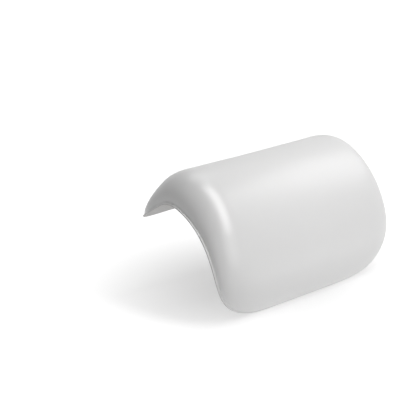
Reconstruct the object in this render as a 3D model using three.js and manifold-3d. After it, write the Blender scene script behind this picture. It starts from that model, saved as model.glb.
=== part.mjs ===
// Bath pillow: a saddle of soft moulded foam in a wipe-clean skin. It hangs over the rim of a bath, with a thick
// crest under the bather's neck, a long leg inside the bath and a thin tail on the rim behind. Suction cups on the
// hidden inner face of the leg hold it to the bath's wall.
//
// Millimetres, +Z up. X runs along the pillow and the bather leans on the -Y side. The origin is the middle of the
// underside, at the highest point of the arch, where the pillow sits on the rim.

import * as THREE from 'three';
import { mergeVertices } from 'three/addons/utils/BufferGeometryUtils.js';
import Module from 'manifold-3d';

const { degToRad } = THREE.MathUtils;

// Underside of the saddle, in section: a straight tail, a tight bend over the rim, a wide shoulder, a straight leg
const TAIL_LENGTH = 59;
const TAIL_SLOPE = degToRad(31.5);
const RIM_RADIUS = 27;
const CREST_SLOPE = degToRad(-18);
const SHOULDER_RADIUS = 90;
const LEG_SLOPE = degToRad(-90);
const LEG_LENGTH = 39;

// Outline of the pillow laid flat: its width, its two kinds of squared-off round corner, and the hollowed rear edge
const WIDTH = 300;
const LEG_CORNER = 104;
const LEG_CORNER_POWER = 3.3;
const TAIL_CORNER = 46;
const TAIL_CORNER_POWER = 2.6;
const TAIL_SCOOP = 14;
const SCOOP_REACH = 115;

// Height of the padding above the flange, and how it rolls over at the edges
const TAIL_CROWN = 3.2;
const CREST_CROWN = 32;
const LEG_CROWN = 17;
const CREST_AHEAD = 5;
const CREST_EASE = 88;
const ROLL_WIDTH = 39.5;
const ROLL_POWER = 2.03;
const FLANGE_WIDTH = 2.2;

// Sheet thicknesses, the gap left between neighbouring pieces, and how near two corners are one and the same
const SKIN_THICKNESS = 0.8;
const UNDERSIDE_THICKNESS = 0.6;
const GAP = 0.3;
const WELD_DISTANCE = 1e-4;

// Suction cups in a row across the leg, each with a mushroom stud that turns in a socket behind the underside
const CUP_COUNT = 4;
const CUP_INSET = 57;
const CUP_RADIUS = 20;
const CUP_HEIGHT = 12;
const CUP_HOLLOW = 4.5;
const CUP_RIM = 2.5;
const CUP_EDGE = 1.4;
const CUP_COLLAR_RADIUS = 8;
const CUP_COLLAR_HEIGHT = 1.8;
const CUP_WAIST_RADIUS = 6.2;
const TAB_WIDTH = 9;
const TAB_REACH = 7;
const TAB_THICKNESS = 1.2;
const TAB_SET_BACK = 0.5;
const STUD_RADIUS = 4;
const STUD_HEAD_RADIUS = 6;
const STUD_HEAD_LENGTH = 4.4;
const STUD_NOSE_RADIUS = 3;
const STUD_CLEARANCE = 0.4;
const SOCKET_WALL = 1.4;
const SOCKET_FLANGE_RADIUS = 11.5;

// Facets
const END_STEPS = 8;
const SIDE_STEPS = 12;
const CORNER_STEPS = 6;
const ROLL_STEPS = 4;
const CUP_SEGMENTS = 24;
const BELL_STEPS = 5;
const TAB_STEPS = 6;

const wasm = await Module();
wasm.setup();

// The underside is a chain of runs, each of one curvature: its length and the heading that it ends on
const underside = [
  { length: TAIL_LENGTH, heading: TAIL_SLOPE },
  { length: RIM_RADIUS * (TAIL_SLOPE - CREST_SLOPE), heading: CREST_SLOPE },
  { length: SHOULDER_RADIUS * (CREST_SLOPE - LEG_SLOPE), heading: LEG_SLOPE },
  { length: LEG_LENGTH, heading: LEG_SLOPE },
];
const LENGTH = underside.reduce((sum, run) => sum + run.length, 0);

// Place and heading on the underside, so far from the tail's edge: forward is towards the bather
function alongUnderside(distance) {
  let left = distance;
  let heading = TAIL_SLOPE;
  let forward = 0;
  let up = 0;
  for (const run of underside) {
    const step = Math.min(left, run.length);
    const turn = (run.heading - heading) * step / run.length;
    const chord = turn === 0 ? step : step * Math.sin(turn / 2) / (turn / 2);
    forward += chord * Math.cos(heading + turn / 2);
    up += chord * Math.sin(heading + turn / 2);
    heading += turn;
    left -= step;
    if (left <= 0) break;
  }
  return { forward, up, heading };
}

// The arch is highest where the rim bend is level, and the padding is thickest a little ahead of that
const restDistance = TAIL_LENGTH + RIM_RADIUS * TAIL_SLOPE;
const rest = alongUnderside(restDistance);
const crestDistance = restDistance + CREST_AHEAD;

// A point of the saddle: x along the pillow, distance from the tail's edge, height square to the underside.
// The tail is hollowed in the middle, so there the same distance starts nearer to the rim.
function saddlePoint(x, distance, height) {
  const scoop = TAIL_SCOOP * (1 - (2 * x / WIDTH) ** 2) * Math.max(0, 1 - distance / SCOOP_REACH);
  const { forward, up, heading } = alongUnderside(distance + scoop);
  const y = rest.forward - forward + Math.sin(heading) * height;
  const z = up - rest.up + Math.cos(heading) * height;
  return new THREE.Vector3(x, y, z);
}

// The padding climbs from the thin tail to the crest, then eases to the thickness of the leg
function crown(distance) {
  if (distance < crestDistance) {
    const below = 1 - Math.max(0, distance) / crestDistance;
    return CREST_CROWN - (CREST_CROWN - TAIL_CROWN) * below ** 2;
  }
  const eased = THREE.MathUtils.smoothstep(distance, crestDistance, crestDistance + CREST_EASE);
  return THREE.MathUtils.lerp(CREST_CROWN, LEG_CROWN, eased);
}

// Points from one place towards another, without the last
function straight(from, to, steps) {
  return Array.from({ length: steps }, (_, i) => new THREE.Vector2().lerpVectors(from, to, i / steps));
}

// A squared-off round corner on the right of the outline, from the side round to an end of the pillow. A corner that
// has been moved in by more than its radius is sharp.
function corner(size, power, inset, end) {
  const radius = Math.max(Math.min(size, WIDTH / 2) - inset, 0);
  const inwards = Math.sign(LENGTH / 2 - end);
  const centre = new THREE.Vector2(WIDTH / 2 - inset - radius, end + inwards * (inset + radius));
  return Array.from({ length: CORNER_STEPS + 1 }, (_, i) => {
    const angle = (i / CORNER_STEPS) * Math.PI / 2;
    const across = i === CORNER_STEPS ? 0 : radius * Math.cos(angle) ** (2 / power);
    const along = -inwards * radius * Math.sin(angle) ** (2 / power);
    return new THREE.Vector2(centre.x + across, centre.y + along);
  });
}

// The outline moved inwards, as points (x, distance from the tail's edge), anticlockwise from the right tail corner
function outlineRing(inset) {
  const mirrored = (point) => new THREE.Vector2(-point.x, point.y);
  const tailCorner = corner(TAIL_CORNER, TAIL_CORNER_POWER, inset, 0).reverse();
  const legCorner = corner(LEG_CORNER, LEG_CORNER_POWER, inset, LENGTH);
  const tailMiddle = new THREE.Vector2(0, inset);
  const hemMiddle = new THREE.Vector2(0, LENGTH - inset);
  // the right half, from the middle of the tail's edge to the middle of the hem
  const half = [
    ...straight(tailMiddle, tailCorner[0], END_STEPS / 2),
    ...tailCorner.slice(0, -1),
    ...straight(tailCorner.at(-1), legCorner[0], SIDE_STEPS),
    ...legCorner.slice(0, -1),
    ...straight(legCorner.at(-1), hemMiddle, END_STEPS / 2),
    hemMiddle,
  ];
  const other = half.slice(1, -1).reverse().map(mirrored);
  const ring = [...half, ...other];
  const start = END_STEPS / 2 + CORNER_STEPS / 2;
  return [...ring.slice(start), ...ring.slice(0, start)];
}

// The four sides of a ring meet in the middle of its corners
const ACROSS = END_STEPS + CORNER_STEPS;
const ALONG = SIDE_STEPS + CORNER_STEPS;

// A point of the patch that fills a ring, by blending the ring's four sides
function patchPoint(ring, i, j) {
  const u = i / ACROSS;
  const v = j / ALONG;
  const right = ring[j];
  const left = ring[2 * ALONG + ACROSS - j];
  const hem = ring[ALONG + i];
  const tail = ring[(2 * ALONG + 2 * ACROSS - i) % ring.length];
  const blend = (axis) => {
    const sides = (1 - u) * right[axis] + u * left[axis] + (1 - v) * tail[axis] + v * hem[axis];
    const tailSide = (1 - u) * ring[0][axis] + u * ring[2 * ALONG + ACROSS][axis];
    const hemSide = (1 - u) * ring[ALONG][axis] + u * ring[ALONG + ACROSS][axis];
    return sides - (1 - v) * tailSide - v * hemSide;
  };
  return new THREE.Vector2(blend('x'), blend('y'));
}

// A closed sheet on the saddle. Each face is a list of rings from the outline inwards, every ring with its inset and
// its height at a distance from the tail, and the last ring's height fills the middle.
function sheetGeometry(upper, lower) {
  const positions = [];
  const triangles = [];
  const addPoint = (point, height) => {
    positions.push(...saddlePoint(point.x, point.y, height(point.y)).toArray());
    return positions.length / 3 - 1;
  };
  const addQuad = (a, b, c, d, facesOut) => {
    triangles.push(...(facesOut ? [a, c, b, a, d, c] : [a, b, c, a, c, d]));
  };
  const addFace = (rings, facesOut) => {
    const outlines = rings.map((ring) => outlineRing(ring.inset));
    const loops = rings.map((ring, k) => outlines[k].map((point) => addPoint(point, ring.height)));
    const count = outlines[0].length;
    for (let k = 0; k + 1 < loops.length; k += 1) {
      for (let i = 0; i < count; i += 1) {
        const next = (i + 1) % count;
        addQuad(loops[k][i], loops[k][next], loops[k + 1][next], loops[k + 1][i], facesOut);
      }
    }
    const edge = outlines.at(-1);
    const loop = loops.at(-1);
    const grid = [];
    for (let i = 0; i <= ACROSS; i += 1) {
      grid.push([]);
      for (let j = 0; j <= ALONG; j += 1) {
        if (i === 0) grid[i].push(loop[j]);
        else if (i === ACROSS) grid[i].push(loop[2 * ALONG + ACROSS - j]);
        else if (j === 0) grid[i].push(loop[count - i]);
        else if (j === ALONG) grid[i].push(loop[ALONG + i]);
        else grid[i].push(addPoint(patchPoint(edge, i, j), rings.at(-1).height));
      }
    }
    for (let i = 0; i < ACROSS; i += 1) {
      for (let j = 0; j < ALONG; j += 1) {
        addQuad(grid[i][j], grid[i][j + 1], grid[i + 1][j + 1], grid[i + 1][j], facesOut);
      }
    }
    return loops[0];
  };
  const top = addFace(upper, true);
  const bottom = addFace(lower, false);
  if (upper[0].height(0) > lower[0].height(0)) {
    for (let i = 0; i < top.length; i += 1) {
      const next = (i + 1) % top.length;
      addQuad(bottom[i], bottom[next], top[next], top[i], true);
    }
  }
  const geometry = new THREE.BufferGeometry();
  geometry.setAttribute('position', new THREE.Float32BufferAttribute(positions, 3));
  geometry.setIndex(triangles);
  return geometry;
}

const level = (inset, height) => ({ inset, height: () => height });

// Rings of a padded roll-over: a rounded shoulder that rises from the base to the crown, less a cut
function rollRings(inset, width, base, cut) {
  return Array.from({ length: ROLL_STEPS + 1 }, (_, k) => {
    const angle = (k / ROLL_STEPS) * Math.PI / 2;
    const rise = Math.sin(angle) ** (2 / ROLL_POWER);
    const inwards = k === ROLL_STEPS ? 1 : 1 - Math.cos(angle) ** (2 / ROLL_POWER);
    return { inset: inset + width * inwards, height: (distance) => base + (crown(distance) - cut) * rise };
  });
}

// A closed geometry as a solid that can be cut, and a solid back as a geometry
function toSolid(geometry) {
  const bare = geometry.clone();
  bare.deleteAttribute('normal');
  bare.deleteAttribute('uv');
  const merged = mergeVertices(bare, WELD_DISTANCE);
  const index = merged.index.array;
  const kept = [];
  for (let i = 0; i < index.length; i += 3) {
    const [a, b, c] = index.slice(i, i + 3);
    if (a !== b && b !== c && c !== a) kept.push(a, b, c);
  }
  const vertProperties = new Float32Array(merged.attributes.position.array);
  const mesh = new wasm.Mesh({ numProp: 3, vertProperties, triVerts: new Uint32Array(kept) });
  return new wasm.Manifold(mesh);
}

function toGeometry(solid) {
  const mesh = solid.getMesh();
  const geometry = new THREE.BufferGeometry();
  geometry.setAttribute('position', new THREE.BufferAttribute(mesh.vertProperties, 3));
  geometry.setIndex(new THREE.BufferAttribute(mesh.triVerts, 1));
  return geometry;
}

// Finishes
const satinWhite = { color: 0xf2f1ef, roughness: 0.38, metalness: 0 };
const foamCream = { color: 0xefe6cf, roughness: 0.95, metalness: 0 };
const socketWhite = { color: 0xe9e9e6, roughness: 0.5, metalness: 0 };
const clearVinyl = { color: 0xd9e2e4, roughness: 0.18, metalness: 0, transparent: true, opacity: 0.55 };

function namedMesh(name, geometry, finish) {
  const mesh = new THREE.Mesh(geometry, new THREE.MeshStandardMaterial(finish));
  mesh.name = name;
  return mesh;
}

// A cup's place on the leg: the middle of its stud on the underside, with +Y pointing out of the underside. The
// sockets' flanges lie flat, so they start where the leg becomes straight.
const cupDistance = LENGTH - LEG_LENGTH + SOCKET_FLANGE_RADIUS;
const cupHeading = alongUnderside(cupDistance).heading;
const cupTilt = Math.atan2(-Math.cos(cupHeading), -Math.sin(cupHeading));

function placeOnLeg(object, number) {
  const x = THREE.MathUtils.mapLinear(number, 1, CUP_COUNT, CUP_INSET - WIDTH / 2, WIDTH / 2 - CUP_INSET);
  object.position.copy(saddlePoint(x, cupDistance, 0));
  object.rotation.x = cupTilt;
  object.updateMatrix();
  return object;
}

// Turned shapes of the cup, its socket and their openings, about the stud's axis. Heights run out of the underside.
const points = (...pairs) => pairs.map(([radius, height]) => new THREE.Vector2(radius, height));
const socketFace = -(UNDERSIDE_THICKNESS + GAP);
const mouthRadius = STUD_RADIUS + STUD_CLEARANCE;
const headTop = socketFace - SOCKET_WALL - GAP;
const headEnd = headTop - STUD_HEAD_LENGTH;
const chamberRadius = STUD_HEAD_RADIUS + STUD_CLEARANCE;
const chamberEnd = headEnd - GAP;
const domeRadius = chamberRadius + SOCKET_WALL;
const domeEnd = chamberEnd - SOCKET_WALL;

function socketGeometry() {
  const profile = points(
    [0, domeEnd],
    [domeRadius, domeEnd],
    [domeRadius, socketFace - SOCKET_WALL],
    [SOCKET_FLANGE_RADIUS, socketFace - SOCKET_WALL],
    [SOCKET_FLANGE_RADIUS, socketFace],
    [mouthRadius, socketFace],
    [mouthRadius, socketFace - SOCKET_WALL],
    [chamberRadius, socketFace - SOCKET_WALL],
    [chamberRadius, chamberEnd],
    [0, chamberEnd],
  );
  return new THREE.LatheGeometry(profile, CUP_SEGMENTS);
}

// Room for a socket in the foam, open to the underside
function pocketGeometry() {
  const profile = points(
    [0, domeEnd - GAP],
    [domeRadius + GAP, domeEnd - GAP],
    [domeRadius + GAP, socketFace - SOCKET_WALL - GAP],
    [SOCKET_FLANGE_RADIUS + GAP, socketFace - SOCKET_WALL - GAP],
    [SOCKET_FLANGE_RADIUS + GAP, UNDERSIDE_THICKNESS],
    [0, UNDERSIDE_THICKNESS],
  );
  return new THREE.LatheGeometry(profile, CUP_SEGMENTS);
}

// The stud's hole through the underside sheet
function studHoleGeometry() {
  const profile = points(
    [0, -2 * UNDERSIDE_THICKNESS],
    [mouthRadius, -2 * UNDERSIDE_THICKNESS],
    [mouthRadius, UNDERSIDE_THICKNESS],
    [0, UNDERSIDE_THICKNESS],
  );
  return new THREE.LatheGeometry(profile, CUP_SEGMENTS);
}

// A cup in one moulding: mushroom stud, collar, bell, flat sealing rim and hollow face, with a pull tab at the rim
function cupGeometry() {
  const collarTop = GAP + CUP_COLLAR_HEIGHT;
  const edgeFoot = CUP_HEIGHT - CUP_EDGE;
  const waist = new THREE.Vector2(CUP_WAIST_RADIUS, collarTop);
  const bell = new THREE.QuadraticBezierCurve(
    waist,
    new THREE.Vector2(CUP_WAIST_RADIUS, (collarTop + edgeFoot) / 2),
    new THREE.Vector2(CUP_RADIUS, edgeFoot),
  );
  const hollow = new THREE.QuadraticBezierCurve(
    new THREE.Vector2(CUP_RADIUS - CUP_RIM, CUP_HEIGHT),
    new THREE.Vector2((CUP_RADIUS - CUP_RIM) / 2, CUP_HEIGHT - CUP_HOLLOW),
    new THREE.Vector2(0, CUP_HEIGHT - CUP_HOLLOW),
  );
  const profile = [
    ...points(
      [0, headEnd],
      [STUD_NOSE_RADIUS, headEnd],
      [STUD_HEAD_RADIUS, (headEnd + headTop) / 2],
      [STUD_HEAD_RADIUS, headTop],
      [STUD_RADIUS, headTop],
      [STUD_RADIUS, GAP],
      [CUP_COLLAR_RADIUS, GAP],
      [CUP_COLLAR_RADIUS, collarTop],
    ),
    ...bell.getPoints(BELL_STEPS),
    new THREE.Vector2(CUP_RADIUS, CUP_HEIGHT),
    ...hollow.getPoints(BELL_STEPS),
  ];
  const turned = new THREE.LatheGeometry(profile, CUP_SEGMENTS);

  const tongue = new THREE.Shape();
  const tongueFoot = CUP_RADIUS - CUP_RIM / 2;
  const tongueEnd = CUP_RADIUS + TAB_REACH - TAB_WIDTH / 2;
  tongue.moveTo(-TAB_WIDTH / 2, tongueFoot);
  tongue.lineTo(TAB_WIDTH / 2, tongueFoot);
  tongue.lineTo(TAB_WIDTH / 2, tongueEnd);
  tongue.absarc(0, tongueEnd, TAB_WIDTH / 2, 0, Math.PI);
  const tab = new THREE.ExtrudeGeometry(tongue, {
    depth: TAB_THICKNESS,
    bevelEnabled: false,
    curveSegments: TAB_STEPS,
  });
  // the shape's up becomes down the leg, and its depth runs along the stud
  tab.rotateX(-Math.PI / 2);
  tab.translate(0, CUP_HEIGHT - TAB_SET_BACK - TAB_THICKNESS, 0);
  return toGeometry(toSolid(turned).add(toSolid(tab)));
}

// Heights of the stacked sheets above the underside's outer face
const backingTop = UNDERSIDE_THICKNESS;
const flangeFoot = backingTop + GAP;
const flangeTop = flangeFoot + SKIN_THICKNESS;
const skinFoot = FLANGE_WIDTH + SKIN_THICKNESS;
const foamEdge = skinFoot + GAP;
const rollEnd = FLANGE_WIDTH + ROLL_WIDTH;

const outerSkin = sheetGeometry(
  [level(0, flangeTop), ...rollRings(FLANGE_WIDTH, ROLL_WIDTH, flangeTop, 0)],
  [level(0, flangeFoot), ...rollRings(skinFoot, rollEnd - skinFoot, flangeFoot, 0)],
);
const foamBlank = sheetGeometry(
  rollRings(foamEdge, rollEnd - foamEdge, flangeFoot, GAP),
  [level(foamEdge, flangeFoot), level(rollEnd, flangeFoot)],
);
const backing = sheetGeometry(
  [level(0, backingTop), level(skinFoot, backingTop), level(rollEnd, backingTop)],
  [level(0, 0), level(skinFoot, 0), level(rollEnd, 0)],
);

// Each cup's pocket is cut out of the foam, and its stud hole out of the underside sheet
function cutOnLeg(blank, cutter) {
  let body = toSolid(blank);
  for (let number = 1; number <= CUP_COUNT; number += 1) {
    const tool = placeOnLeg(new THREE.Object3D(), number);
    body = body.subtract(toSolid(cutter.clone().applyMatrix4(tool.matrix)));
  }
  return toGeometry(body);
}

const pillow = new THREE.Group();
pillow.add(namedMesh('outer_skin', outerSkin, satinWhite));
pillow.add(namedMesh('foam_core', cutOnLeg(foamBlank, pocketGeometry()), foamCream));
pillow.add(namedMesh('underside_skin', cutOnLeg(backing, studHoleGeometry()), satinWhite));
for (let number = 1; number <= CUP_COUNT; number += 1) {
  pillow.add(placeOnLeg(namedMesh(`cup_socket_${number}`, socketGeometry(), socketWhite), number));
  pillow.add(placeOnLeg(namedMesh(`suction_cup_${number}`, cupGeometry(), clearVinyl), number));
}

export default pillow;
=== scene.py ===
import math

import bmesh
import bpy
from mathutils import Matrix, Vector, noise
from mathutils.geometry import interpolate_bezier


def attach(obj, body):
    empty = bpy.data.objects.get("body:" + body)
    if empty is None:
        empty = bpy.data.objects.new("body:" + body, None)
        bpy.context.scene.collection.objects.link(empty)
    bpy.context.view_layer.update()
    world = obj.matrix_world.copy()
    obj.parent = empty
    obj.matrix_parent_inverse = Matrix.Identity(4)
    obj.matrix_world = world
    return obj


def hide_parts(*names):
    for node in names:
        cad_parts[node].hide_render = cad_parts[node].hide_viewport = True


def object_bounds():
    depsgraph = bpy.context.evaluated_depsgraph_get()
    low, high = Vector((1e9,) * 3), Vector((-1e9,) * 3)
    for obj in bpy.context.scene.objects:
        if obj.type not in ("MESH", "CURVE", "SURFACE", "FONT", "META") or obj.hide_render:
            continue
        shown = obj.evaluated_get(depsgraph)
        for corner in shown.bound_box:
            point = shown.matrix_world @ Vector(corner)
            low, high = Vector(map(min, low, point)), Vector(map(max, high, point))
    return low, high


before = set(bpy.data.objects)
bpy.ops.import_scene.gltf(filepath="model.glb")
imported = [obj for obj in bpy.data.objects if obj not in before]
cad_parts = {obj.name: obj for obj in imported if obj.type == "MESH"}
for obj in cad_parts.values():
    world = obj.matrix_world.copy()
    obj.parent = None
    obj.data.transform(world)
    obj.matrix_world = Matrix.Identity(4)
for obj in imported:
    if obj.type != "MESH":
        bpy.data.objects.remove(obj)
cad_low, cad_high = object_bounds()

# Foam core
# One moulding of soft cream polyurethane foam, thickest under the neck, thinner in the leg and thin in the
# tail. It is foamed in a closed mould as a saddle that hangs over a bath's rim, with pockets for the sockets.

# the underside in section, as runs of even bend: each with its length and the heading it ends on
TAIL_LENGTH = 0.059
TAIL_SLOPE = math.radians(31.5)
RIM_RADIUS = 0.027
CREST_SLOPE = math.radians(-18)
SHOULDER_RADIUS = 0.090
LEG_SLOPE = math.radians(-90)
LEG_LENGTH = 0.039
UNDERSIDE_RUNS = (
    (TAIL_LENGTH, TAIL_SLOPE),
    (RIM_RADIUS * (TAIL_SLOPE - CREST_SLOPE), CREST_SLOPE),
    (SHOULDER_RADIUS * (CREST_SLOPE - LEG_SLOPE), LEG_SLOPE),
    (LEG_LENGTH, LEG_SLOPE),
)
PILLOW_LENGTH = sum(length for length, heading in UNDERSIDE_RUNS)


def along_underside(distance):
    """Forward, up and heading on the underside, so far from the tail's edge."""
    left = distance
    heading = TAIL_SLOPE
    forward = 0.0
    up = 0.0
    for length, end_heading in UNDERSIDE_RUNS:
        step = min(left, length)
        turn = (end_heading - heading) * step / length
        chord = step * math.sin(turn / 2) / (turn / 2) if turn else step
        forward += chord * math.cos(heading + turn / 2)
        up += chord * math.sin(heading + turn / 2)
        heading += turn
        left -= step
        if left <= 0:
            break
    return forward, up, heading


# the arch's highest point is the frame's origin, and the middle of the tail's edge is scooped out
REST_DISTANCE = TAIL_LENGTH + RIM_RADIUS * TAIL_SLOPE
REST_FORWARD, REST_UP = along_underside(REST_DISTANCE)[:2]
PILLOW_WIDTH = 0.300
TAIL_SCOOP = 0.014
SCOOP_REACH = 0.115


def saddle_point(x, distance, height):
    """A point of the flat pattern, bent over the rim."""
    scoop = TAIL_SCOOP * (1 - (2 * x / PILLOW_WIDTH) ** 2) * max(0, 1 - distance / SCOOP_REACH)
    forward, up, heading = along_underside(distance + scoop)
    y = REST_FORWARD - forward + math.sin(heading) * height
    z = up - REST_UP + math.cos(heading) * height
    return Vector((x, y, z))


# height of the padding above the flange, from the tail over the crest to the leg
TAIL_CROWN = 0.0032
CREST_CROWN = 0.032
LEG_CROWN = 0.017
CREST_AHEAD = 0.005
CREST_DISTANCE = REST_DISTANCE + CREST_AHEAD
CREST_EASE = 0.088


def crown(distance):
    """How high the padding stands at a distance from the tail's edge."""
    if distance < CREST_DISTANCE:
        below = 1 - max(0, distance) / CREST_DISTANCE
        return CREST_CROWN - (CREST_CROWN - TAIL_CROWN) * below**2
    share = min((distance - CREST_DISTANCE) / CREST_EASE, 1)
    eased = share * share * (3 - 2 * share)
    return CREST_CROWN + (LEG_CROWN - CREST_CROWN) * eased


# the flat pattern's outline: a rectangle with squared-off round corners, wide at the leg, tight at the tail
LEG_CORNER = 0.104
LEG_CORNER_POWER = 3.3
TAIL_CORNER = 0.046
TAIL_CORNER_POWER = 2.6
STRAIGHT_STEPS = 15
CORNER_STEPS = 34
QUARTER_STEPS = 2 * STRAIGHT_STEPS + CORNER_STEPS


def squared_arc(angle, power):
    """A point on a quarter round of radius one that bulges towards its corner."""
    across = math.cos(angle)
    along = math.sin(angle)
    reach = (abs(across) ** power + abs(along) ** power) ** (-1 / power)
    return reach * across, reach * along


def outline_point(turn, inset):
    """Where a turn round the middle meets the outline, moved in: x, and the distance from the tail."""
    leg_end = math.sin(turn) > 0
    size = LEG_CORNER if leg_end else TAIL_CORNER
    power = LEG_CORNER_POWER if leg_end else TAIL_CORNER_POWER
    radius = max(size - inset, 0)
    centre_x = PILLOW_WIDTH / 2 - inset - radius
    centre_y = PILLOW_LENGTH - inset - radius if leg_end else inset + radius
    side_middle = (TAIL_CORNER + PILLOW_LENGTH - LEG_CORNER) / 2
    steps = math.atan2(abs(math.sin(turn)), abs(math.cos(turn))) / (math.pi / 2) * QUARTER_STEPS
    if steps < STRAIGHT_STEPS:
        x = centre_x + radius
        y = side_middle + (centre_y - side_middle) * steps / STRAIGHT_STEPS
    elif steps < STRAIGHT_STEPS + CORNER_STEPS:
        angle = (steps - STRAIGHT_STEPS) / CORNER_STEPS * math.pi / 2
        across, along = squared_arc(angle, power)
        x = centre_x + radius * across
        y = centre_y + radius * along * (1 if leg_end else -1)
    else:
        x = centre_x * (QUARTER_STEPS - steps) / STRAIGHT_STEPS
        y = centre_y + radius * (1 if leg_end else -1)
    return math.copysign(x, math.cos(turn)), y


def lay_ring(bm, ring, inset, height):
    """Puts a ring of edges on the outline, moved in, at a height that may change along the pillow."""
    turn = bm.verts.layers.float["turn"]
    for vert in {vert for edge in ring for vert in edge.verts}:
        x, distance = outline_point(vert[turn], inset)
        vert.co = (x, distance, height(distance))


def start_ring(bm, inset, height):
    """The first ring of a pattern piece, in which each vertex keeps its turn round the middle."""
    turn = bm.verts.layers.float.new("turn")
    bmesh.ops.create_circle(bm, segments=4 * QUARTER_STEPS, radius=1)
    for vert in bm.verts:
        vert[turn] = math.atan2(vert.co.y, vert.co.x)
    ring = bm.edges[:]
    lay_ring(bm, ring, inset, height)
    return ring


TURN_SLACK = 1e-4


def cover(bm, ring, rings):
    """Carries a ring inwards over rings of inset and height, and fills the middle at the last height."""
    turn = bm.verts.layers.float["turn"]
    for inset, height in rings:
        grown = bmesh.ops.extrude_edge_only(bm, edges=ring)["geom"]
        ring = [part for part in grown if isinstance(part, bmesh.types.BMEdge)]
        lay_ring(bm, ring, inset, height)

    def at_an_end(vert):
        return abs(math.sin(vert[turn])) > abs(math.cos(vert[turn])) - TURN_SLACK

    ends = [edge for edge in ring if all(at_an_end(vert) for vert in edge.verts)]
    middle = bmesh.ops.grid_fill(bm, edges=ends, use_smooth=True)["faces"]
    for vert in {vert for face in middle for vert in face.verts}:
        vert.co.z = height(vert.co.y)


# how the padding rolls over at the edges, inside the flange of the skin round it
ROLL_WIDTH = 0.0395
ROLL_POWER = 2.03
ROLL_STEPS = 16
FLANGE_WIDTH = 0.0022
ROLL_END = FLANGE_WIDTH + ROLL_WIDTH


def roll_rings(inset, base, cut):
    """Rings of a rounded shoulder that rises from the base to the crown, less a cut."""
    rings = []
    for step in range(1, ROLL_STEPS + 1):
        outwards, rise = squared_arc(step / ROLL_STEPS * math.pi / 2, ROLL_POWER)
        moved_in = ROLL_END - (ROLL_END - inset) * outwards
        rings.append((moved_in, lambda distance, rise=rise: base + (crown(distance) - cut) * rise))
    return rings


def level(height):
    """A height that is the same all along the pillow."""
    return lambda distance: height


SKIN_THICKNESS = 0.0008
BACKING_THICKNESS = 0.0006
GAP = 0.0003
FLANGE_FOOT = BACKING_THICKNESS + GAP
FOAM_EDGE = FLANGE_WIDTH + SKIN_THICKNESS + GAP


def bend_over_rim(bm):
    """Bends a flat pattern, which also mirrors it, so its faces are turned back."""
    for vert in bm.verts:
        vert.co = saddle_point(*vert.co)
    bmesh.ops.reverse_faces(bm, faces=bm.faces)


def make_object(name, bm):
    """A smooth-shaded object of the bmesh, which it uses up."""
    mesh = bpy.data.meshes.new(name)
    for face in bm.faces:
        face.smooth = True
    bm.to_mesh(mesh)
    bm.free()
    made = bpy.data.objects.new(name, mesh)
    bpy.context.scene.collection.objects.link(made)
    return made


foam_form = bmesh.new()
foam_edge = start_ring(foam_form, FOAM_EDGE, level(FLANGE_FOOT))
cover(foam_form, foam_edge, roll_rings(FOAM_EDGE, FLANGE_FOOT, GAP))
cover(foam_form, foam_edge, [(ROLL_END, level(FLANGE_FOOT))])
bend_over_rim(foam_form)
bmesh.ops.recalc_face_normals(foam_form, faces=foam_form.faces)
foam = make_object("foam", foam_form)

# sockets stand in a row on the straight of the leg, their axes square to the bath's wall
CUP_COUNT = 4
CUP_INSET = 0.057
SOCKET_FLANGE_RADIUS = 0.0115
CUP_DISTANCE = PILLOW_LENGTH - LEG_LENGTH + SOCKET_FLANGE_RADIUS
STUD_RADIUS = 0.004
STUD_HEAD_RADIUS = 0.006
STUD_HEAD_LENGTH = 0.0044
STUD_CLEARANCE = 0.0004
SOCKET_WALL = 0.0014
SOCKET_FACE = -FLANGE_FOOT
HEAD_TOP = SOCKET_FACE - SOCKET_WALL - GAP
HEAD_END = HEAD_TOP - STUD_HEAD_LENGTH
DOME_RADIUS = STUD_HEAD_RADIUS + STUD_CLEARANCE + SOCKET_WALL
DOME_END = HEAD_END - GAP - SOCKET_WALL
TURNED_STEPS = 64
MERGE_DISTANCE = 1e-6


def cup_place(number):
    """Where a cup's axis meets the underside, counted from the left end."""
    across = (2 * number - CUP_COUNT - 1) / (CUP_COUNT - 1)
    return saddle_point(across * (PILLOW_WIDTH / 2 - CUP_INSET), CUP_DISTANCE, 0)


def turned(bm, profile):
    """A closed shape turned about the stud's axis, from points of radius and height off the underside."""
    line = [bm.verts.new((radius, height, 0)) for radius, height in profile]
    edges = [bm.edges.new(pair) for pair in zip(line, line[1:])]
    bmesh.ops.spin(
        bm,
        geom=line + edges,
        cent=(0, 0, 0),
        axis=(0, 1, 0),
        angle=2 * math.pi,
        steps=TURNED_STEPS,
        use_merge=True,
    )
    bmesh.ops.remove_doubles(bm, verts=bm.verts, dist=MERGE_DISTANCE)
    bmesh.ops.recalc_face_normals(bm, faces=bm.faces)


SLIVER = 0.00001


def keep_modified(piece):
    """Makes what the piece's modifiers show its own mesh, without the slivers that they leave."""
    shown = bmesh.new()
    shown.from_object(piece, bpy.context.evaluated_depsgraph_get())
    bmesh.ops.dissolve_degenerate(shown, edges=shown.edges, dist=SLIVER)
    piece.modifiers.clear()
    shown.to_mesh(piece.data)
    shown.free()


def cut_at_each_cup(piece, profile):
    """Cuts a turned shape out of a piece at each cup, and keeps the cut mesh."""
    for number in range(1, CUP_COUNT + 1):
        cutter_form = bmesh.new()
        turned(cutter_form, profile)
        bmesh.ops.translate(cutter_form, verts=cutter_form.verts, vec=cup_place(number))
        cutter = make_object("cutter", cutter_form)
        cut = piece.modifiers.new("cut", "BOOLEAN")
        cut.operation = "DIFFERENCE"
        cut.solver = "EXACT"
        cut.object = cutter
        keep_modified(piece)
        bpy.data.objects.remove(cutter)


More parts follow.
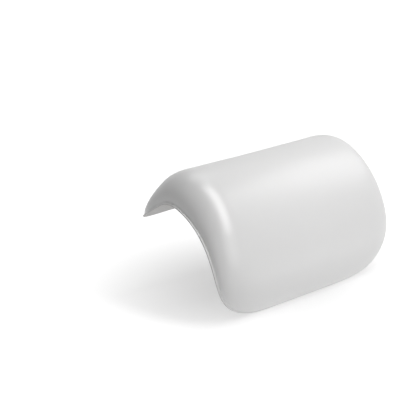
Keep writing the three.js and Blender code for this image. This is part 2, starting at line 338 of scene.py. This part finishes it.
cut_at_each_cup(
    foam,
    [
        (0, DOME_END - GAP),
        (DOME_RADIUS + GAP, DOME_END - GAP),
        (DOME_RADIUS + GAP, HEAD_TOP),
        (SOCKET_FLANGE_RADIUS + GAP, HEAD_TOP),
        (SOCKET_FLANGE_RADIUS + GAP, BACKING_THICKNESS),
        (0, BACKING_THICKNESS),
    ],
)


def start_material(name):
    """A new material and its shader."""
    material = bpy.data.materials.new(name)
    material.use_nodes = True
    return material, material.node_tree.nodes["Principled BSDF"]


def add_node(material, kind, **settings):
    """A node, with its settings by name and its plain input values by the input's name."""
    node = material.node_tree.nodes.new(kind)
    for key, value in settings.items():
        if hasattr(node, key):
            setattr(node, key, value)
        else:
            node.inputs[key.replace("_", " ").title()].default_value = value
    return node


def on_surface(material, kind, **settings):
    """A texture that stays on the piece, in metres."""
    texture = add_node(material, kind, **settings)
    place = add_node(material, "ShaderNodeTexCoord")
    material.node_tree.links.new(place.outputs["Object"], texture.inputs["Vector"])
    return texture


def vary_roughness(material, shader, texture, smoothest, roughest):
    links = material.node_tree.links
    spread = add_node(material, "ShaderNodeMapRange", to_min=smoothest, to_max=roughest)
    links.new(texture.outputs[0], spread.inputs["Value"])
    links.new(spread.outputs[0], shader.inputs["Roughness"])


def vary_colour(material, shader, texture, darkest, palest):
    links = material.node_tree.links
    ramp = add_node(material, "ShaderNodeValToRGB")
    ramp.color_ramp.elements[0].color = (*darkest, 1)
    ramp.color_ramp.elements[1].color = (*palest, 1)
    links.new(texture.outputs[0], ramp.inputs["Fac"])
    links.new(ramp.outputs["Color"], shader.inputs["Base Color"])


def raise_grain(material, shader, texture, depth, below=None):
    """Bumps of a depth in metres on the surface, over the bumps of an earlier grain."""
    links = material.node_tree.links
    bump = add_node(material, "ShaderNodeBump", strength=1.0, distance=depth)
    links.new(texture.outputs[0], bump.inputs["Height"])
    if below:
        links.new(below.outputs[0], bump.inputs["Normal"])
    links.new(bump.outputs[0], shader.inputs["Normal"])
    return bump


foam_material, foam_shader = start_material("cream_foam")
foam_cells = on_surface(foam_material, "ShaderNodeTexVoronoi", scale=900)
foam_blotches = on_surface(foam_material, "ShaderNodeTexNoise", scale=40, detail=4)
FOAM_SHADE = (0.78, 0.68, 0.49)
FOAM_CREAM = (0.86, 0.78, 0.60)
vary_colour(foam_material, foam_shader, foam_blotches, darkest=FOAM_SHADE, palest=FOAM_CREAM)
vary_roughness(foam_material, foam_shader, foam_cells, smoothest=0.85, roughest=1.0)
raise_grain(foam_material, foam_shader, foam_cells, depth=0.0004)
foam.data.materials.append(foam_material)
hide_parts("foam_core")
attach(foam, "pillow")

# Cup sockets
# Small flanged caps of white polypropylene, each moulded in one shot. They are pushed into the foam's pockets
# from the underside, and the sheet that is welded over them holds them in by the flange.

socket_material, socket_shader = start_material("white_polypropylene")
socket_flow = on_surface(socket_material, "ShaderNodeTexNoise", scale=120, detail=3)
socket_spark = on_surface(socket_material, "ShaderNodeTexNoise", scale=4000, detail=2)
SOCKET_SHADE = (0.76, 0.76, 0.74)
SOCKET_WHITE = (0.82, 0.82, 0.80)
vary_colour(socket_material, socket_shader, socket_flow, darkest=SOCKET_SHADE, palest=SOCKET_WHITE)
vary_roughness(socket_material, socket_shader, socket_flow, smoothest=0.42, roughest=0.55)
raise_grain(socket_material, socket_shader, socket_spark, depth=0.00001)
for number in range(1, CUP_COUNT + 1):
    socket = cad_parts[f"cup_socket_{number}"]
    socket.data.materials.clear()
    socket.data.materials.append(socket_material)

# Underside skin
# A thin sheet of soft off-white skin, which closes the pillow where it lies on the rim and the bath's
# wall. It is die cut to the outline with a hole for each stud, and welded to the outer skin along the flange,
# which the weld presses thin.

LIP_WIDTH = 0.0017
LIP_STEPS = 5


def lip_rings(top, droop):
    """Rings of a flange's upper face, which droops towards its edge."""
    rings = []
    for step in range(LIP_STEPS + 1):
        share = step / LIP_STEPS
        rings.append((LIP_WIDTH * share, level(top - droop * (1 - share) ** 2)))
    return rings


WELD_LINE = 0.00005
BACKING_TOP = FLANGE_FOOT - WELD_LINE
BACKING_DROOP = 0.00065
PRESSED_EDGE = 0.0002
backing_form = bmesh.new()
backing_edge = start_ring(backing_form, 0, level(BACKING_TOP - BACKING_DROOP - PRESSED_EDGE))
cover(backing_form, backing_edge, [(FLANGE_WIDTH, level(0)), (ROLL_END, level(0))])
cover(backing_form, backing_edge, lip_rings(BACKING_TOP, BACKING_DROOP) + [(ROLL_END, level(BACKING_TOP))])
bend_over_rim(backing_form)
bmesh.ops.recalc_face_normals(backing_form, faces=backing_form.faces)
backing = make_object("underside", backing_form)

ROUNDING_STEPS = 3
SHARP_ANGLE = math.radians(50)


def round_edges(piece, radius):
    """Rounds the piece's sharp edges."""
    bevel = piece.modifiers.new("rounded", "BEVEL")
    bevel.width = radius
    bevel.segments = ROUNDING_STEPS
    bevel.limit_method = "ANGLE"
    bevel.angle_limit = SHARP_ANGLE
    bevel.use_clamp_overlap = True


# edges are rounded before the holes are cut, because short edges round a cut would hold the rounding back
BACKING_ROUNDING = 0.0001
round_edges(backing, BACKING_ROUNDING)
keep_modified(backing)

# the holes' cutters reach past both faces of the sheet
HOLE_RADIUS = STUD_RADIUS + STUD_CLEARANCE
HOLE_START = -2 * BACKING_THICKNESS
HOLE_END = BACKING_THICKNESS
cut_at_each_cup(backing, [(0, HOLE_START), (HOLE_RADIUS, HOLE_START), (HOLE_RADIUS, HOLE_END), (0, HOLE_END)])

backing_material, backing_shader = start_material("backing_sheet_painted_shade")
backing_tone = on_surface(backing_material, "ShaderNodeTexNoise", scale=18, detail=3)
backing_grain = on_surface(backing_material, "ShaderNodeTexNoise", scale=1600, detail=2)
# painted shade: the sheet is coloured a darker grey than its own off-white, to stand in for the shade that
# falls on it under the arch
BACKING_PAINTED_SHADE_DARKEST = (0.60, 0.59, 0.58)
BACKING_PAINTED_SHADE_PALEST = (0.66, 0.65, 0.64)
vary_colour(backing_material, backing_shader, backing_tone, darkest=BACKING_PAINTED_SHADE_DARKEST, palest=BACKING_PAINTED_SHADE_PALEST)
vary_roughness(backing_material, backing_shader, backing_tone, smoothest=0.44, roughest=0.54)
raise_grain(backing_material, backing_shader, backing_grain, depth=0.00004)
backing.data.materials.append(backing_material)
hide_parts("underside_skin")
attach(backing, "pillow")

# Outer skin
# One sheet of satin white soft skin, 0.8 mm thick, formed over the foam. It rolls over at the edges into a
# thin flange that runs all round the pillow, where it is welded to the underside and trimmed.

FLANGE_TOP = FLANGE_FOOT + SKIN_THICKNESS
SKIN_DROOP = 0.0005
FILLET_WIDTH = FLANGE_WIDTH - LIP_WIDTH
FILLET_RISE = 0.015
FILLET_STEPS = 4


def fillet_rings():
    """Rings of the small hollow between the flange and the padding's side."""
    rings = []
    for step in range(1, FILLET_STEPS):
        angle = step / FILLET_STEPS * math.pi / 2
        moved_in = FLANGE_WIDTH - FILLET_WIDTH * (1 - math.sin(angle))
        share = FILLET_RISE * (1 - math.cos(angle))
        rings.append((moved_in, lambda distance, share=share: FLANGE_TOP + crown(distance) * share))
    return rings


skin_form = bmesh.new()
skin_lip = lip_rings(FLANGE_TOP, SKIN_DROOP)
skin_edge = start_ring(skin_form, *skin_lip[0])
cover(skin_form, skin_edge, skin_lip[1:] + fillet_rings() + roll_rings(FLANGE_WIDTH, FLANGE_TOP, 0))

# the open sheet's faces look up, so that its thickness goes towards the foam
bmesh.ops.recalc_face_normals(skin_form, faces=skin_form.faces)
if sum(face.normal.z for face in skin_form.faces) < 0:
    bmesh.ops.reverse_faces(skin_form, faces=skin_form.faces)

# soft foam never lies quite even under its skin
SOFT_WAVE = 0.08
SOFT_DEPTH = 0.0002
for vert in skin_form.verts:
    inside = min(max(vert.co.z - FLANGE_TOP, 0) / TAIL_CROWN, 1)
    vert.co.z += SOFT_DEPTH * inside * noise.noise(vert.co / SOFT_WAVE)
bend_over_rim(skin_form)
skin = make_object("skin", skin_form)
skin_wall = skin.modifiers.new("wall", "SOLIDIFY")
skin_wall.thickness = SKIN_THICKNESS
skin_wall.offset = -1
SKIN_ROUNDING = 0.0003
round_edges(skin, SKIN_ROUNDING)

skin_material, skin_shader = start_material("satin_white_skin")
skin_tone = on_surface(skin_material, "ShaderNodeTexNoise", scale=9, detail=3)
skin_pebble = on_surface(skin_material, "ShaderNodeTexVoronoi", feature="SMOOTH_F1", scale=1100)
skin_pores = on_surface(skin_material, "ShaderNodeTexNoise", scale=2600, detail=2)
SKIN_SHADE = (0.80, 0.798, 0.795)
SKIN_WHITE = (0.83, 0.828, 0.826)
vary_colour(skin_material, skin_shader, skin_tone, darkest=SKIN_SHADE, palest=SKIN_WHITE)
vary_roughness(skin_material, skin_shader, skin_tone, smoothest=0.26, roughest=0.32)
skin_shader.inputs["Specular IOR Level"].default_value = 1.0
skin_bumps = raise_grain(skin_material, skin_shader, skin_pebble, depth=0.00002)
raise_grain(skin_material, skin_shader, skin_pores, depth=0.00001, below=skin_bumps)
skin.data.materials.append(skin_material)
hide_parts("outer_skin")
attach(skin, "pillow")

# Suction cups
# Soft clear vinyl cups, each moulded in one shot with a mushroom stud behind and a pull tab at the rim. The
# stud is pressed through the underside into its socket, where it turns freely.

CUP_RADIUS = 0.020
CUP_HEIGHT = 0.012
CUP_HOLLOW = 0.0045
CUP_RIM = 0.0025
CUP_EDGE = 0.0014
CUP_COLLAR_RADIUS = 0.008
CUP_COLLAR_HEIGHT = 0.0018
CUP_COLLAR_TOP = GAP + CUP_COLLAR_HEIGHT
CUP_WAIST_RADIUS = 0.0062
STUD_NOSE_RADIUS = 0.003
CUP_ROUNDING = 0.0002
BELL_STEPS = 16


def curve_points(start, pull, end):
    """A curve in section from start to end, drawn towards the pull point."""
    start, pull, end = (Vector((*point, 0)) for point in (start, pull, end))
    first_handle = start.lerp(pull, 2 / 3)
    last_handle = end.lerp(pull, 2 / 3)
    curve = interpolate_bezier(start, first_handle, last_handle, end, BELL_STEPS)
    return [(point.x, point.y) for point in curve]


edge_foot = CUP_HEIGHT - CUP_EDGE
hollow_end = CUP_HEIGHT - CUP_HOLLOW
hollow_radius = CUP_RADIUS - CUP_RIM
stud_line = [
    (0, HEAD_END),
    (STUD_NOSE_RADIUS, HEAD_END),
    (STUD_HEAD_RADIUS, (HEAD_END + HEAD_TOP) / 2),
    (STUD_HEAD_RADIUS, HEAD_TOP),
    (STUD_RADIUS, HEAD_TOP),
    (STUD_RADIUS, GAP),
    (CUP_COLLAR_RADIUS, GAP),
    (CUP_COLLAR_RADIUS, CUP_COLLAR_TOP),
]
bell_line = curve_points(
    (CUP_WAIST_RADIUS, CUP_COLLAR_TOP),
    (CUP_WAIST_RADIUS, (CUP_COLLAR_TOP + edge_foot) / 2),
    (CUP_RADIUS, edge_foot),
)
hollow_line = curve_points((hollow_radius, CUP_HEIGHT), (hollow_radius / 2, hollow_end), (0, hollow_end))
cup_form = bmesh.new()
turned(cup_form, stud_line + bell_line + [(CUP_RADIUS, CUP_HEIGHT)] + hollow_line)
cup = make_object("cup", cup_form)
round_edges(cup, CUP_ROUNDING)
keep_modified(cup)

# the tab: a disc drawn out into a tongue, thickened and merged with the rim
TAB_WIDTH = 0.009
TAB_REACH = 0.007
TAB_THICKNESS = 0.0012
TAB_SET_BACK = 0.0005
TAB_ROOT = CUP_RADIUS - CUP_RIM / 2
TAB_STEPS = 48
tab_form = bmesh.new()
bmesh.ops.create_circle(tab_form, cap_ends=True, segments=TAB_STEPS, radius=TAB_WIDTH / 2)
tab_end = CUP_RADIUS + TAB_REACH - TAB_WIDTH / 2
for vert in tab_form.verts:
    if vert.co.y < -MERGE_DISTANCE:
        vert.co = (math.copysign(TAB_WIDTH / 2, vert.co.x), TAB_ROOT, 0)
    else:
        vert.co.y += tab_end
bmesh.ops.remove_doubles(tab_form, verts=tab_form.verts, dist=MERGE_DISTANCE)
thickened = bmesh.ops.extrude_face_region(tab_form, geom=tab_form.faces[:])["geom"]
raised = [part for part in thickened if isinstance(part, bmesh.types.BMVert)]
bmesh.ops.translate(tab_form, verts=raised, vec=(0, 0, TAB_THICKNESS))
tab_turn = Matrix.Rotation(-math.pi / 2, 3, "X")
tab_height = CUP_HEIGHT - TAB_SET_BACK - TAB_THICKNESS
bmesh.ops.rotate(tab_form, verts=tab_form.verts, cent=(0, 0, 0), matrix=tab_turn)
bmesh.ops.translate(tab_form, verts=tab_form.verts, vec=(0, tab_height, 0))
bmesh.ops.recalc_face_normals(tab_form, faces=tab_form.faces)
tab = make_object("tab", tab_form)
round_edges(tab, CUP_ROUNDING)
joining = cup.modifiers.new("joined", "BOOLEAN")
joining.operation = "UNION"
joining.solver = "EXACT"
joining.object = tab
keep_modified(cup)
bpy.data.objects.remove(tab)

cup_material, cup_shader = start_material("clear_vinyl")
cup_haze = on_surface(cup_material, "ShaderNodeTexNoise", scale=220, detail=4)
cup_flow = on_surface(cup_material, "ShaderNodeTexNoise", scale=500, detail=2)
CUP_SHADE = (0.86, 0.90, 0.91)
CUP_CLEAR = (0.91, 0.94, 0.95)
vary_colour(cup_material, cup_shader, cup_haze, darkest=CUP_SHADE, palest=CUP_CLEAR)
vary_roughness(cup_material, cup_shader, cup_haze, smoothest=0.08, roughest=0.2)
raise_grain(cup_material, cup_shader, cup_flow, depth=0.00002)
cup_shader.inputs["Transmission Weight"].default_value = 0.85
cup_shader.inputs["IOR"].default_value = 1.53
cup.data.materials.append(cup_material)
for number in range(1, CUP_COUNT + 1):
    copy = cup.copy()
    copy.name = f"vinyl_cup_{number}"
    copy.data = cup.data.copy()
    copy.data.transform(Matrix.Translation(cup_place(number)))
    bpy.context.scene.collection.objects.link(copy)
    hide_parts(f"suction_cup_{number}")
    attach(copy, f"cup_{number}")
bpy.data.objects.remove(cup)

# Studio
# A pale floor that the hem stands on, a low light in front, a tall one above it that the crest and the near
# ridge mirror, one at the far end and a high one behind, in an even pale surround. The camera looks at the
# near end from a little above.

FLOOR_SIZE = 6.0
floor_form = bmesh.new()
bmesh.ops.create_grid(floor_form, x_segments=1, y_segments=1, size=FLOOR_SIZE)
bmesh.ops.translate(floor_form, verts=floor_form.verts, vec=(0, 0, cad_low.z))
floor = make_object("floor", floor_form)
floor_material, floor_shader = start_material("pale_floor")
floor_links = floor_material.node_tree.links
floor_shader.inputs["Base Color"].default_value = (0.5, 0.5, 0.5, 1)
floor_shader.inputs["Roughness"].default_value = 0.9
floor_shader.inputs["Emission Color"].default_value = (1, 1, 1, 1)


def background_rays(tree):
    """Is 1 for rays that show the background, straight, mirrored or through the cups, and 0 for its light."""
    path = tree.nodes.new("ShaderNodeLightPath")
    shown = path.outputs["Is Camera Ray"]
    for ray in ("Is Glossy Ray", "Is Transmission Ray"):
        either = tree.nodes.new("ShaderNodeMath")
        either.operation = "MAXIMUM"
        tree.links.new(shown, either.inputs[0])
        tree.links.new(path.outputs[ray], either.inputs[1])
        shown = either.outputs[0]
    return shown


# the floor's own glow keeps it white to look at, but the glow is turned down round the pillow, which paints a
# soft shade on the floor there
NEAR_GLOW = 0.42
FAR_GLOW = 1.0
FADE_REACH = 0.334
GLOW_ON_PILLOW = 0.4
floor_place = add_node(floor_material, "ShaderNodeTexCoord")
floor_reach = add_node(floor_material, "ShaderNodeVectorMath", operation="DISTANCE")
floor_reach.inputs[1].default_value = (0, 0, cad_low.z)
floor_painted_shade = add_node(floor_material, "ShaderNodeMapRange", interpolation_type="SMOOTHSTEP")
floor_painted_shade.inputs["From Max"].default_value = FADE_REACH
floor_painted_shade.inputs["To Min"].default_value = NEAR_GLOW
floor_painted_shade.inputs["To Max"].default_value = FAR_GLOW
floor_glow = add_node(floor_material, "ShaderNodeMapRange", to_min=GLOW_ON_PILLOW)
floor_links.new(floor_place.outputs["Object"], floor_reach.inputs[0])
floor_links.new(floor_reach.outputs["Value"], floor_painted_shade.inputs["Value"])
floor_links.new(background_rays(floor_material.node_tree), floor_glow.inputs["Value"])
floor_links.new(floor_painted_shade.outputs[0], floor_glow.inputs["To Max"])
floor_links.new(floor_glow.outputs[0], floor_shader.inputs["Emission Strength"])
floor.data.materials.append(floor_material)

# the surround is white to look at and lights the pillow evenly, but less
SURROUND_LIGHT = 0.126
surround = bpy.data.worlds.new("surround")
surround.use_nodes = True
bpy.context.scene.world = surround
surround_nodes = surround.node_tree.nodes
surround_links = surround.node_tree.links
surround_nodes["Background"].inputs["Color"].default_value = (1, 1, 1, 1)
surround_strength = surround_nodes.new("ShaderNodeMapRange")
surround_strength.inputs["To Min"].default_value = SURROUND_LIGHT
surround_strength.inputs["To Max"].default_value = 1.0
surround_links.new(background_rays(surround.node_tree), surround_strength.inputs["Value"])
surround_links.new(surround_strength.outputs[0], surround_nodes["Background"].inputs["Strength"])


def from_pillow(azimuth, elevation, distance):
    """A place round the pillow, where azimuth 0 is on the bather's side and 90 at the pillow's far end."""
    azimuth = math.radians(azimuth)
    elevation = math.radians(elevation)
    reach = distance * math.cos(elevation)
    return Vector((reach * math.sin(azimuth), -reach * math.cos(azimuth), distance * math.sin(elevation)))


def soft_light(name, azimuth, elevation, distance, size, power):
    """A flat soft light that faces the pillow."""
    lamp = bpy.data.lights.new(name, "AREA")
    lamp.shape = "RECTANGLE"
    lamp.size, lamp.size_y = size
    lamp.energy = power
    light = bpy.data.objects.new(name, lamp)
    light.location = from_pillow(azimuth, elevation, distance)
    light.rotation_euler = (-light.location).to_track_quat("-Z", "Y").to_euler()
    bpy.context.scene.collection.objects.link(light)


soft_light("front_light", azimuth=4, elevation=10, distance=0.94, size=(0.45, 0.3), power=0.638)
soft_light("upper_light", azimuth=3.5, elevation=54.8, distance=0.6, size=(0.215, 0.7), power=2.21)
soft_light("side_light", azimuth=69, elevation=32, distance=0.6, size=(0.3, 0.33), power=0.41)
soft_light("back_light", azimuth=137, elevation=64.5, distance=1.2, size=(0.7, 0.7), power=1.78)

camera_data = bpy.data.cameras.new("camera")
camera_data.sensor_width = 36
camera_data.lens = 128.9
camera_data.clip_end = 100
camera = bpy.data.objects.new("camera", camera_data)
camera_aim = Vector((-0.0474, 0.0553, -0.0277))
camera.location = camera_aim + from_pillow(azimuth=-44.43, elevation=16.79, distance=1.701)
camera.rotation_euler = (camera_aim - camera.location).to_track_quat("-Z", "Y").to_euler()
bpy.context.scene.collection.objects.link(camera)
bpy.context.scene.camera = camera
bpy.context.scene.view_settings.view_transform = "Standard"
